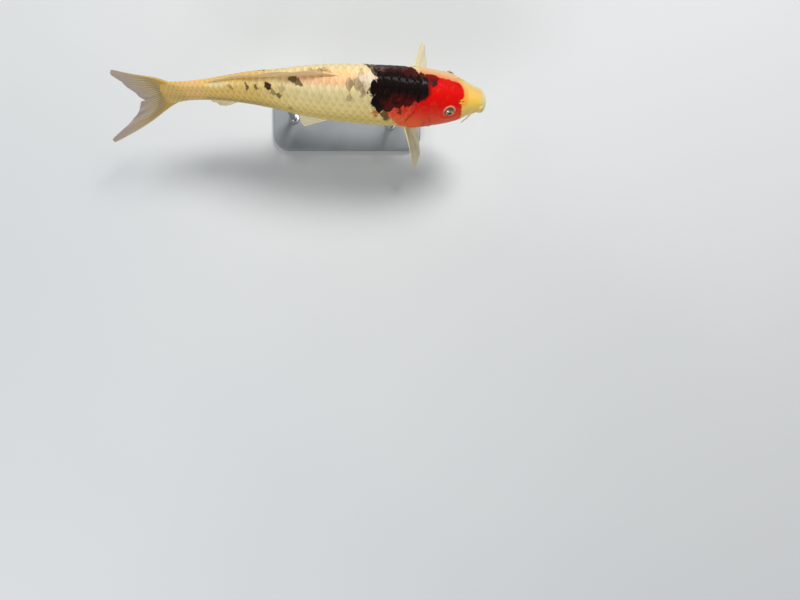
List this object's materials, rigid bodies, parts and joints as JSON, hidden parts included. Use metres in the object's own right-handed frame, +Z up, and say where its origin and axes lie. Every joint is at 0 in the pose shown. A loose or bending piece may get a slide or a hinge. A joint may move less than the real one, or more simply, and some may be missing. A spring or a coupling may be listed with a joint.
{
  "type": "koi carp",
  "caption": "Life-size still model of a red-headed koi carp swimming, held over a flat base by two short rods.",
  "frame": {"origin": "centre of the underside of the stand's base, on the floor", "axes": "+X towards the fish's snout, +Y towards its left side, +Z up"},
  "size_m": [0.3615, 0.1221, 0.1409],
  "materials": {
    "skin": "wet gloss",
    "fin": "satin",
    "eye": "high gloss",
    "barbel": "satin",
    "stand_base": "satin",
    "stand_rod": "brushed"
  },
  "bodies": {
    "root": {"head": "skin", "gill_cover_left": "skin", "gill_cover_right": "skin", "lower_jaw": "skin", "trunk": "skin", "tail_stalk": "skin", "eye_left": "eye", "eye_right": "eye", "dorsal_fin": "fin", "anal_fin": "fin", "tail_fin_upper": "fin", "tail_fin_lower": "fin", "pectoral_fin_left": "fin", "pectoral_fin_right": "fin", "pelvic_fin_left": "fin", "pelvic_fin_right": "fin", "barbel_left_long": "barbel", "barbel_left_short": "barbel", "barbel_right_long": "barbel", "barbel_right_short": "barbel", "stand_base": "stand_base", "stand_rod_front": "stand_rod", "stand_rod_rear": "stand_rod"}
  },
  "joints": []
}
